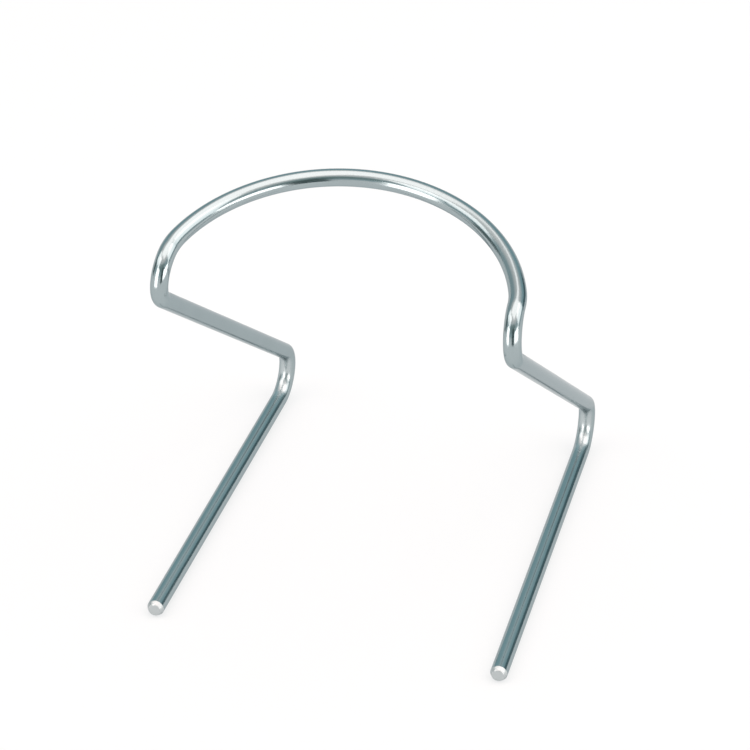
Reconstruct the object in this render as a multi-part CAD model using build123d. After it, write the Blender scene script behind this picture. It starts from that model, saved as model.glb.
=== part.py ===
from build123d import *
from math import acos, degrees
import os

# Instrument stringer: one round polished steel rod, bent into a free-standing rack.
# Two straight legs lie on the table. At the back each leg turns up and over at its heel
# into a strut, which leans forward and a little outward to a tight shoulder above the
# leg's tip. There the rod turns back again and runs into one wide, nearly level loop,
# the rail, which carries hinged instruments astride it by their open handles.
# X runs across the rack, +Y from the leg tips to the back, and Z up from the table.
# Sizes are in millimetres and degrees, and those of the path are taken on the rod's
# centreline. Both halves of the path are mirror images.

# Rod stock, and the lead-in ground on each end
ROD_DIAMETER = 6.0
END_CHAMFER_DEPTH = 0.8
END_CHAMFER_LENGTH = 1.5

# Rail: a wide arc that tightens a little before each shoulder, and rises to the back
RAIL_RADIUS = 60.0
RAIL_HALF_ANGLE = 72.0
RAIL_END_RADIUS = 26.0
RAIL_END_ANGLE = 14.0
RAIL_TILT = 11.0
RAIL_HEIGHT = 140.0
RAIL_SETBACK = 2.0

# Legs: the heel corner is the point that the heel bend rounds off
HEEL_REACH = 164.0
HEEL_HALF_SPAN = 57.0
TIP_HALF_SPAN = 61.0

# Bends
HEEL_BEND_RADIUS = 10.0
SHOULDER_BEND_RADIUS = 10.0


def turned(vector, axis, angle):
    """The vector, turned by the angle about an axis through the origin."""
    return vector.rotate(Axis((0, 0, 0), axis), angle)


def arc(start, heading, normal, radius, angle):
    """An arc that leaves start along heading and turns about normal, and its heading at the end."""
    centre = start + normal.cross(heading) * radius
    middle = centre + turned(start - centre, normal, angle / 2)
    end = centre + turned(start - centre, normal, angle)
    return ThreePointArc(start, middle, end), turned(heading, normal, angle)


def arc_towards(start, heading, target, radius):
    """The arc that leaves start along heading and turns until it points straight at target."""
    normal = heading.cross(target - start).normalized()
    to_start = heading.cross(normal)
    centre = start - to_start * radius
    to_target = target - centre
    # The straight from the target touches the arc this far before the target's own bearing.
    touch_angle = degrees(acos(radius / to_target.length))
    bearing = to_start.get_signed_angle(to_target, normal) % 360
    return arc(start, heading, normal, radius, bearing - touch_angle)


def half_path():
    """The edges of the centreline, from the middle of the rail to the tip of the right leg."""
    across = Vector(1, 0, 0)
    rail_normal = turned(Vector(0, 0, -1), across, RAIL_TILT)
    rail_centre = Vector(0, RAIL_SETBACK, RAIL_HEIGHT)
    rail_middle = rail_centre + turned(Vector(0, RAIL_RADIUS, 0), across, RAIL_TILT)
    rail, heading = arc(rail_middle, across, rail_normal, RAIL_RADIUS, RAIL_HALF_ANGLE)
    rail_end, heading = arc(rail @ 1, heading, rail_normal, RAIL_END_RADIUS, RAIL_END_ANGLE)

    leg_level = ROD_DIAMETER / 2
    heel_corner = Vector(HEEL_HALF_SPAN, HEEL_REACH, leg_level)
    tip = Vector(TIP_HALF_SPAN, 0, leg_level)
    shoulder, heading = arc_towards(rail_end @ 1, heading, heel_corner, SHOULDER_BEND_RADIUS)
    strut_heel_leg = FilletPolyline(shoulder @ 1, heel_corner, tip, radius=HEEL_BEND_RADIUS)
    return [rail, rail_end, shoulder, *strut_heel_leg.edges()]


def stringer_rod():
    """The rod: its round section swept along the whole centreline, with a lead-in on each end."""
    right_half = half_path()
    left_half = [edge.mirror(Plane.YZ) for edge in right_half]
    path = Wire(left_half + right_half)
    section = Plane(path @ 0, z_dir=path % 0) * Circle(ROD_DIAMETER / 2)
    rod = sweep(section, path=path)
    for left_or_right in (0, -1):
        end_face = rod.faces().filter_by(GeomType.PLANE).sort_by(Axis.X)[left_or_right]
        rod = chamfer(end_face.edges(), END_CHAMFER_DEPTH, END_CHAMFER_LENGTH, reference=end_face)
    return rod


def stood_at_origin(rod):
    """The rod with the origin on the table, under the middle of its outer box."""
    box = rod.bounding_box()
    return rod.moved(Location((-box.center().X, -box.center().Y, -box.min.Z)))


os.makedirs("parts", exist_ok=True)
export_step(stood_at_origin(stringer_rod()), "parts/stringer_rod.step")
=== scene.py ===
"""Instrument stringer: one round polished steel rod, bent into a free-standing rack.

The whole rack is one swept mesh. It follows the same path as the CAD rod, with the same named
sizes, but in metres: a level loop, the rail, between two shoulders, then a strut, a heel bend
and a straight leg on each side. The rod is polished steel with fine lengthwise lines.
"""

import math

import bpy
from mathutils import Matrix, Quaternion, Vector


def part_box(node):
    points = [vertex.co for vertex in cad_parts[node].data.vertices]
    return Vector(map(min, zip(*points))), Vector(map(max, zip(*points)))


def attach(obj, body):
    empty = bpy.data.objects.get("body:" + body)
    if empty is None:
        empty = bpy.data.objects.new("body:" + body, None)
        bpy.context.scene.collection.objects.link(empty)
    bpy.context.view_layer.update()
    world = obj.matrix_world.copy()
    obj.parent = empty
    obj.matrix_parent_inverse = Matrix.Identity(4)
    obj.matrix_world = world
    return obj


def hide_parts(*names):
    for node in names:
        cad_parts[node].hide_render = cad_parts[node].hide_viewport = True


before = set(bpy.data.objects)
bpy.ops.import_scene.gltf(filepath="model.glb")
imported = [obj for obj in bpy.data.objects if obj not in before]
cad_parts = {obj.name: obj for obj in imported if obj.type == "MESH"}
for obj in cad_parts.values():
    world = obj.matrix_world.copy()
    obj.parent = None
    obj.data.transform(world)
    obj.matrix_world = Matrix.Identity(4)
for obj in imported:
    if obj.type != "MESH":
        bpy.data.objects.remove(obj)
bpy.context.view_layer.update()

MM = 0.001

# The rod's path, as in the CAD source: millimetres and degrees, on the centreline
ROD_RADIUS = 3.0
RAIL_RADIUS = 60.0
RAIL_HALF_ANGLE = 72.0
RAIL_END_RADIUS = 26.0
RAIL_END_ANGLE = 14.0
RAIL_TILT = 11.0
RAIL_HEIGHT = 140.0
RAIL_SETBACK = 2.0
HEEL_REACH = 164.0
HEEL_HALF_SPAN = 57.0
TIP_HALF_SPAN = 61.0
HEEL_BEND_RADIUS = 10.0
SHOULDER_BEND_RADIUS = 10.0

# The end of the rod in section: how far back from the end face, and the radius there.
# The flat face, the ground lead-in and the rod meet in small rounded edges.
END_PROFILE = [
    (1.90, 3.000),
    (1.66, 2.996),
    (1.53, 2.985),
    (1.42, 2.952),
    (1.28, 2.883),
    (0.90, 2.680),
    (0.50, 2.467),
    (0.16, 2.285),
    (0.07, 2.222),
    (0.02, 2.150),
    (0.00, 2.060),
    (0.00, 1.500),
    (0.00, 0.800),
]

# How finely the rod is divided, and the least room between the rings of its path and of its end
SIDES = 96
BEND_STEP = 0.45
RAIL_STEP = 1.0
STRAIGHT_STEP = 3.0
END_ROOM = 0.5

# The rod's marks, in millimetres along it: how fast those of bending fade out beside a bend, where
# the rubs on the rail start to fade and end, and how far the ground ends reach
BEND_MARK_FADE = 8.0
RUBS_FADE_FROM = 62.0
RUBS_END = 76.0
GROUND_REACH = 1.62
GROUND_FULL_REACH = 1.52

# The steel's colours. METAL is where its haze is darkest and lightest, and GROUND is the same for
# the rings on its ends.
METAL = (0.362, 0.422, 0.434, 1), (0.378, 0.441, 0.454, 1)
GROUND = (0.47, 0.505, 0.51, 1), (0.56, 0.59, 0.595, 1)
GRAIN = (0.342, 0.400, 0.411, 1)
LINES = (0.392, 0.455, 0.468, 1)
SCRATCHES = (0.46, 0.50, 0.505, 1)
# Painted highlight: a lighter colour inside the tight bends that offsets the shade the rod's
# reflections of itself leave there
PAINTED_LIGHT_INSIDE_BENDS = (0.60, 0.645, 0.655, 1)
GRAZING_TINT = (0.635, 0.675, 0.69, 1)

# The studio, in metres: half the floor's side, and the point that the lamps and cards face
FLOOR_HALF_SIDE = 6.0
LIT_POINT = Vector((0, 0, 0.1))


def turned(vector, axis, angle):
    return Quaternion(axis, angle) @ vector


def arc(start, heading, normal, radius, degrees, step):
    """Stations along an arc, each a place and a heading, without the first."""
    angle = math.radians(degrees)
    centre = start + normal.cross(heading) * radius
    count = max(2, math.ceil(radius * angle / step))
    stations = []
    for index in range(1, count + 1):
        part = angle * index / count
        place = centre + turned(start - centre, normal, part)
        stations.append((place, turned(heading, normal, part)))
    return stations


def straight(start, end, step):
    """Stations along a straight run, without the first."""
    count = max(2, math.ceil((end - start).length / step))
    heading = (end - start).normalized()
    return [(start.lerp(end, index / count), heading) for index in range(1, count + 1)]


def arc_towards(start, heading, target, radius, step):
    """The arc that leaves start along heading and turns until it points straight at target."""
    normal = heading.cross(target - start).normalized()
    to_start = heading.cross(normal)
    centre = start - to_start * radius
    to_target = target - centre
    touch_angle = math.acos(radius / to_target.length)
    bearing = math.atan2(to_start.cross(to_target).dot(normal), to_start.dot(to_target))
    angle = bearing % (2 * math.pi) - touch_angle
    return arc(start, heading, normal, radius, math.degrees(angle), step)


def bend(start, corner, end, radius, step):
    """A straight run, a bend that rounds off the corner, and a straight run to the end."""
    before = (corner - start).normalized()
    after = (end - corner).normalized()
    angle = before.angle(after)
    set_back = radius * math.tan(angle / 2)
    first = straight(start, corner - before * set_back, STRAIGHT_STEP)
    normal = before.cross(after).normalized()
    turn = arc(first[-1][0], before, normal, radius, math.degrees(angle), step)
    return first + turn + straight(turn[-1][0], end, STRAIGHT_STEP)


def half_path():
    """Stations from the middle of the rail to the tip of the right leg, in millimetres."""
    across = Vector((1, 0, 0))
    tilt = math.radians(RAIL_TILT)
    rail_normal = turned(Vector((0, 0, -1)), across, tilt)
    rail_centre = Vector((0, RAIL_SETBACK, RAIL_HEIGHT))
    rail_middle = rail_centre + turned(Vector((0, RAIL_RADIUS, 0)), across, tilt)
    stations = [(rail_middle, across)]
    stations += arc(rail_middle, across, rail_normal, RAIL_RADIUS, RAIL_HALF_ANGLE, RAIL_STEP)
    stations += arc(*stations[-1], rail_normal, RAIL_END_RADIUS, RAIL_END_ANGLE, RAIL_STEP)
    heel_corner = Vector((HEEL_HALF_SPAN, HEEL_REACH, ROD_RADIUS))
    tip = Vector((TIP_HALF_SPAN, 0, ROD_RADIUS))
    stations += arc_towards(*stations[-1], heel_corner, SHOULDER_BEND_RADIUS, BEND_STEP)
    stations += bend(stations[-1][0], heel_corner, tip, HEEL_BEND_RADIUS, BEND_STEP)
    return stations


def bend_insides(stations):
    """How the rod bends at each station: a vector towards the inside of the bend.

    It is 1 long at the tight bends, and fades out along the rod beside them.
    """
    insides = [Vector((0, 0, 0))]
    for (last, last_heading), (place, heading) in zip(stations, stations[1:]):
        insides.append((heading - last_heading) * (SHOULDER_BEND_RADIUS / (place - last).length))
    onwards = [(index - 1, index) for index in range(1, len(stations))]
    for neighbour, index in onwards + [(index, neighbour) for neighbour, index in reversed(onwards)]:
        step = (stations[index][0] - stations[neighbour][0]).length
        faded = insides[neighbour] * math.exp(-step / BEND_MARK_FADE)
        insides[index] = max(insides[index], faded, key=lambda inside: inside.length)
    return insides


def half_rings():
    """Rings of the right half from the middle to the tip.

    Each is its centre, two spokes, the radius, the length run, and the vector towards the inside
    of the bend.
    """
    stations = half_path()
    end_length = END_PROFILE[0][0]
    tip, tip_heading = stations[-1]
    while (stations[-1][0] - tip).length < end_length + END_ROOM:
        stations.pop()
    rings = []
    spoke = Vector((0, 0, 1))
    run = 0.0
    last = stations[0][0]
    for (place, heading), inside in zip(stations, bend_insides(stations)):
        spoke = (spoke - heading * spoke.dot(heading)).normalized()
        run += (place - last).length
        last = place
        rings.append((place, spoke, heading.cross(spoke), ROD_RADIUS, run, inside))
    side = tip_heading.cross(spoke)
    whole = run + (tip - last).length
    for back, radius in END_PROFILE:
        rings.append((tip - tip_heading * back, spoke, side, radius, whole - back, Vector((0, 0, 0))))
    return rings


def rod_mesh():
    """The rod, swept from the left tip to the right one and closed at both ends.

    Two attributes of its vertices serve the material. straight_rod is the vertex's place on the
    rod as if it were straight, in millimetres: x runs along it, y and z lie across it.
    bend_inside is 1 on the inside of the tight bends and -1 on their outside, and fades to 0
    beside them.
    """
    right = half_rings()
    mirror = Matrix.Diagonal((-1, 1, 1))
    left = [
        (mirror @ centre, mirror @ spoke, mirror @ side, radius, -run, mirror @ inside)
        for centre, spoke, side, radius, run, inside in reversed(right[1:])
    ]
    rings = left + right
    verts, straightened, insides, faces = [], [], [], []
    for centre, spoke, side, radius, run, inside in rings:
        for step in range(SIDES):
            angle = 2 * math.pi * step / SIDES
            outward = spoke * math.cos(angle) + side * math.sin(angle)
            verts.append((centre + outward * radius) * MM)
            straightened.append((run, radius * math.cos(angle), radius * math.sin(angle)))
            insides.append(outward.dot(inside))
    for ring in range(len(rings) - 1):
        for step in range(SIDES):
            following = (step + 1) % SIDES
            here, there = ring * SIDES, (ring + 1) * SIDES
            faces.append((here + step, there + step, there + following, here + following))
    for ring, order in ((0, 1), (len(rings) - 1, -1)):
        centre, run = rings[ring][0], rings[ring][4]
        verts.append(centre * MM)
        straightened.append((run, 0, 0))
        insides.append(0)
        middle = len(verts) - 1
        for step in range(SIDES):
            pair = (ring * SIDES + step, ring * SIDES + (step + 1) % SIDES)
            faces.append((middle, *pair[::order]))
    mesh = bpy.data.meshes.new("stringer_rod_polished")
    mesh.from_pydata(verts, [], faces)
    mesh.polygons.foreach_set("use_smooth", [True] * len(mesh.polygons))
    places = mesh.attributes.new("straight_rod", "FLOAT_VECTOR", "POINT")
    places.data.foreach_set("vector", [value for place in straightened for value in place])
    bends = mesh.attributes.new("bend_inside", "FLOAT", "POINT")
    bends.data.foreach_set("value", insides)
    return mesh, right[-1][4]


class Nodes:
    """A node tree with short calls for the nodes that this scene uses.

    A value given for a socket is either another node's socket or a constant.
    """

    def __init__(self, owner):
        owner.use_nodes = True
        self.tree = owner.node_tree
        self.tree.nodes.clear()

    def add(self, kind, inputs=None, **settings):
        node = self.tree.nodes.new(kind)
        for name, value in settings.items():
            setattr(node, name, value)
        for name, value in (inputs or {}).items():
            self.put(node.inputs[name], value)
        return node

    def put(self, socket, value):
        if isinstance(value, bpy.types.NodeSocket):
            self.tree.links.new(value, socket)
        else:
            socket.default_value = value

    def math(self, operation, first, second=0.0, clamp=False):
        inputs = {0: first, 1: second}
        return self.add("ShaderNodeMath", inputs, operation=operation, use_clamp=clamp).outputs[0]

    def plus(self, total, value, share):
        """The total with a share of the value added."""
        return self.math("ADD", total, self.math("MULTIPLY", value, share))

    def mapped(self, value, from_low, from_high, to_low, to_high):
        node = self.add("ShaderNodeMapRange", {
            "Value": value,
            "From Min": from_low,
            "From Max": from_high,
            "To Min": to_low,
            "To Max": to_high,
        })
        return node.outputs["Result"]

    def noise(self, vector, scale, detail=2.0, roughness=0.5, stretch=(1, 1, 1)):
        """Noise in the place that vector gives. A small number in stretch draws it out that way."""
        scaled = self.add("ShaderNodeVectorMath", {0: vector, 1: stretch}, operation="MULTIPLY")
        node = self.add("ShaderNodeTexNoise", {
            "Vector": scaled.outputs[0], "Scale": scale, "Detail": detail, "Roughness": roughness,
        })
        return node.outputs["Fac"]

    def mixed(self, factor, first, second):
        node = self.add("ShaderNodeMix", data_type="RGBA", clamp_factor=True)
        self.put(node.inputs[0], factor)
        self.put(node.inputs[6], first)
        self.put(node.inputs[7], second)
        return node.outputs[2]


def polished_steel(half_length):
    """Polished stainless steel, with the marks that drawing, polishing, bending and use leave on it.

    Fine lines run along the rod, with a few scratches among them. Inside the tight bends the polish
    is duller, and the steel's colour is painted lighter there, a painted highlight that offsets the
    shade of the rod's reflections of itself; both fade out beside them. Instruments have left faint
    rubs across the top of the rail. The ends are ground: they are duller and lighter, with rings
    about the rod's axis.
    """
    material = bpy.data.materials.new("polished_steel")
    nodes = Nodes(material)
    place = nodes.add("ShaderNodeAttribute", attribute_name="straight_rod").outputs["Vector"]
    inside = nodes.add("ShaderNodeAttribute", attribute_name="bend_inside").outputs["Fac"]
    split = nodes.add("ShaderNodeSeparateXYZ", {0: place}).outputs
    run = nodes.math("ABSOLUTE", split["X"])

    # The marks. Place is in millimetres, so a noise's scale is about its number of spots in 1 mm.
    lines = nodes.noise(place, 3.2, detail=3.0, stretch=(0.035, 1, 1))
    scratches = nodes.noise(place, 7.0, detail=1.0, stretch=(0.015, 1, 1))
    scratches = nodes.mapped(scratches, 0.66, 0.70, 0.0, 1.0)
    haze = nodes.noise(place, 0.09, detail=2.0)
    grain = nodes.noise(place, 2.4, detail=3.0, roughness=0.6)

    on_rail = nodes.mapped(run, RUBS_FADE_FROM, RUBS_END, 1.0, 0.0)
    on_top = nodes.mapped(split["Y"], 0.2 * ROD_RADIUS, 0.8 * ROD_RADIUS, 0.0, 1.0)
    across = nodes.noise(place, 1.6, detail=3.0, stretch=(1, 0.12, 0.12))
    rubs = nodes.mapped(across, 0.52, 0.66, 0.0, 1.0)
    rubs = nodes.math("MULTIPLY", rubs, nodes.math("MULTIPLY", on_rail, on_top))

    end = nodes.mapped(run, half_length - GROUND_REACH, half_length - GROUND_FULL_REACH, 0.0, 1.0)
    spoke = nodes.add("ShaderNodeVectorMath", {0: place, 1: (0, 1, 1)}, operation="MULTIPLY").outputs[0]
    radius = nodes.add("ShaderNodeVectorMath", {0: spoke}, operation="LENGTH").outputs["Value"]
    ring_place = nodes.add("ShaderNodeCombineXYZ", {0: nodes.math("ADD", radius, run)}).outputs[0]
    rings = nodes.noise(ring_place, 9.0, detail=3.0)

    # Their effect on the colour, the roughness and the height
    colour = nodes.mixed(nodes.mapped(haze, 0.35, 0.65, 0.0, 1.0), *METAL)
    colour = nodes.mixed(nodes.mapped(grain, 0.35, 0.65, 0.0, 0.3), colour, GRAIN)
    colour = nodes.mixed(nodes.mapped(lines, 0.35, 0.65, 0.0, 0.4), colour, LINES)
    colour = nodes.mixed(nodes.math("MULTIPLY", scratches, 0.35), colour, SCRATCHES)
    # Painted highlight: the colour is lighter inside the tight bends to offset the shade of the rod's
    # self-reflections there
    colour = nodes.mixed(nodes.mapped(inside, 0.6, 1.0, 0.0, 0.7), colour, PAINTED_LIGHT_INSIDE_BENDS)
    colour = nodes.mixed(end, colour, nodes.mixed(nodes.mapped(rings, 0.3, 0.7, 0.0, 1.0), *GROUND))

    roughness = nodes.mapped(haze, 0.3, 0.7, 0.14, 0.17)
    roughness = nodes.math("ADD", roughness, nodes.mapped(lines, 0.3, 0.7, -0.015, 0.02))
    roughness = nodes.math("ADD", roughness, nodes.mapped(inside, 0.15, 1.0, 0.0, 0.16))
    roughness = nodes.plus(roughness, scratches, 0.08)
    roughness = nodes.plus(roughness, rubs, 0.06)
    roughness = nodes.plus(roughness, end, 0.26)

    height = nodes.plus(lines, scratches, -0.6)
    height = nodes.plus(height, grain, 0.15)
    height = nodes.plus(height, nodes.math("MULTIPLY", rings, end), 2.0)
    bump = nodes.add("ShaderNodeBump", {"Strength": 0.06, "Distance": 0.02 * MM, "Height": height})
    shader = nodes.add("ShaderNodeBsdfPrincipled", {
        "Base Color": colour,
        "Metallic": 1.0,
        "Roughness": roughness,
        "Specular Tint": GRAZING_TINT,
        "Normal": bump.outputs["Normal"],
    })
    nodes.add("ShaderNodeOutputMaterial", {"Surface": shader.outputs[0]})
    return material


def make_rod():
    mesh, half_length = rod_mesh()
    rod = bpy.data.objects.new("stringer_rod_polished", mesh)
    bpy.context.collection.objects.link(rod)
    low, high = (Vector(corner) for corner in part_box("stringer_rod"))
    corners = [Vector(vertex.co) for vertex in mesh.vertices]
    mesh_low = Vector(min(co[axis] for co in corners) for axis in range(3))
    mesh_high = Vector(max(co[axis] for co in corners) for axis in range(3))
    offset = (low + high) / 2 - (mesh_low + mesh_high) / 2
    offset.z = low.z - mesh_low.z
    mesh.transform(Matrix.Translation(offset))
    mesh.materials.append(polished_steel(half_length))
    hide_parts("stringer_rod")
    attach(rod, "root")


def rectangle(name, half_width, half_height, material):
    """A flat rectangle about the origin, in the scene."""
    x, y = half_width, half_height
    mesh = bpy.data.meshes.new(name)
    mesh.from_pydata([(-x, -y, 0), (x, -y, 0), (x, y, 0), (-x, y, 0)], [], [(0, 1, 2, 3)])
    mesh.materials.append(material)
    holder = bpy.data.objects.new(name, mesh)
    bpy.context.collection.objects.link(holder)
    return holder


def make_floor():
    """The floor, pale and matt in the lamps' light, and white to the camera and in reflections."""
    material = bpy.data.materials.new("pale_floor")
    nodes = Nodes(material)
    path = nodes.add("ShaderNodeLightPath").outputs
    seen = nodes.math("ADD", path["Is Camera Ray"], path["Is Glossy Ray"])
    seen = nodes.math("ADD", seen, path["Is Transmission Ray"], clamp=True)
    matt = nodes.add("ShaderNodeBsdfDiffuse", {"Color": (0.76, 0.765, 0.77, 1)})
    white = nodes.add("ShaderNodeEmission", {"Color": (1, 1, 1, 1), "Strength": 1.0})
    share = nodes.math("MULTIPLY", seen, 0.7)
    both = nodes.add("ShaderNodeMixShader", {0: share, 1: matt.outputs[0], 2: white.outputs[0]})
    nodes.add("ShaderNodeOutputMaterial", {"Surface": both.outputs[0]})
    floor = rectangle("floor", FLOOR_HALF_SIDE, FLOOR_HALF_SIDE, material)


def direction(azimuth, elevation):
    """The unit vector towards a point of the studio. Azimuth 0 is behind the rack, 90 to its right."""
    a, e = math.radians(azimuth), math.radians(elevation)
    return Vector((math.sin(a) * math.cos(e), math.cos(a) * math.cos(e), math.sin(e)))


def faced_to_rack(thing, azimuth, elevation, distance):
    """Puts a lamp or card in the studio, its sides level and its back turned away from the rack."""
    away = direction(azimuth, elevation)
    level = direction(azimuth + 90, 0)
    thing.location = LIT_POINT + away * distance
    thing.rotation_mode = "QUATERNION"
    thing.rotation_quaternion = Matrix((-level, away.cross(-level), away)).transposed().to_quaternion()
    thing.visible_camera = False


def softbox(name, azimuth, elevation, distance, width, height, radiance, colour):
    """A rectangular lamp that faces the rack, of the given radiance."""
    lamp = bpy.data.lights.new(name, "AREA")
    lamp.shape = "RECTANGLE"
    lamp.size, lamp.size_y = width, height
    lamp.energy = radiance * math.pi * width * height
    lamp.color = colour
    holder = bpy.data.objects.new(name, lamp)
    bpy.context.collection.objects.link(holder)
    faced_to_rack(holder, azimuth, elevation, distance)


def card(name, azimuth, elevation, distance, width, height, colour):
    """A card of an even colour, which shows in the metal and doesn't light or shade the floor."""
    material = bpy.data.materials.new(name)
    nodes = Nodes(material)
    glow = nodes.add("ShaderNodeEmission", {"Color": (*colour, 1), "Strength": 1.0})
    nodes.add("ShaderNodeOutputMaterial", {"Surface": glow.outputs[0]})
    holder = rectangle(name, width / 2, height / 2, material)
    faced_to_rack(holder, azimuth, elevation, distance)
    holder.visible_diffuse = False
    holder.visible_shadow = False


def make_world():
    """A grey studio, pale where it meets the floor, darker up its walls and lighter to its ceiling.

    The wall behind the rack is a little bluer than the others.
    """
    world = bpy.data.worlds.new("studio")
    bpy.context.scene.world = world
    nodes = Nodes(world)
    towards = nodes.add("ShaderNodeTexCoord").outputs["Generated"]
    split = nodes.add("ShaderNodeSeparateXYZ", {0: towards}).outputs
    foot = (0.92, 0.935, 0.935, 1)
    wall = (0.43, 0.54, 0.56, 1)
    back_wall = (0.38, 0.56, 0.60, 1)
    ceiling = (1.16, 1.06, 1.03, 1)
    colour = nodes.mixed(nodes.mapped(split["Y"], 0.5, 0.75, 0.0, 1.0), wall, back_wall)
    colour = nodes.mixed(nodes.mapped(split["Z"], 0.03, 0.13, 0.0, 1.0), foot, colour)
    colour = nodes.mixed(nodes.mapped(split["Z"], 0.55, 0.85, 0.0, 1.0), colour, ceiling)
    background = nodes.add("ShaderNodeBackground", {"Color": colour, "Strength": 1.0})
    nodes.add("ShaderNodeOutputWorld", {"Surface": background.outputs[0]})


def make_lights():
    """Lamps and cards: name, azimuth, elevation, distance, width, height, then radiance or colour."""
    warm = (1.0, 0.88, 0.85)
    bright = (3.6, 3.3, 3.2)
    softbox("overhead", 24, 86.5, 2.2, 2.2, 2.45, 1.2, warm)
    softbox("right", 78, 41, 2.0, 1.7, 1.7, 1.6, warm)
    softbox("left_side", -108, 39, 2.0, 1.0, 1.0, 1.6, warm)
    softbox("front_left", -139, 42, 2.0, 0.64, 1.04, 1.7, warm)
    card("front_right_low", 122, 7, 0.62, 0.44, 0.30, bright)
    card("front_left_low", -150, 6, 0.36, 0.17, 0.28, bright)
    card("dark_left", -96, 6, 0.85, 0.36, 0.42, (0.15, 0.2, 0.2))
    card("dark_front", 157, 8, 0.50, 0.18, 0.42, (0.1, 0.14, 0.14))
    card("dark_back_right", 37, 3, 1.5, 0.80, 0.9, (0.12, 0.2, 0.22))
    card("grey_front", 167, 31, 2.6, 2.6, 1.1, (0.30, 0.39, 0.385))


def make_camera():
    """The camera at the photograph's place: in front of the rack, to its right and above it."""
    azimuth, elevation, roll = 15.11, 34.11, 1.27
    distance = 1.2943
    aim = Vector((-2.455, -6.49, 68.9)) * MM
    back = direction(180 - azimuth, elevation)
    data = bpy.data.cameras.new("camera")
    data.lens = 180.0
    data.sensor_width = 36.0
    camera = bpy.data.objects.new("camera", data)
    bpy.context.collection.objects.link(camera)
    camera.location = aim + back * distance
    camera.rotation_mode = "QUATERNION"
    level = (-back).to_track_quat("-Z", "Y")
    camera.rotation_quaternion = level @ Quaternion((0, 0, 1), math.radians(roll))
    bpy.context.scene.camera = camera


make_rod()
make_floor()
make_world()
make_lights()
make_camera()
bpy.context.scene.view_settings.view_transform = "Standard"
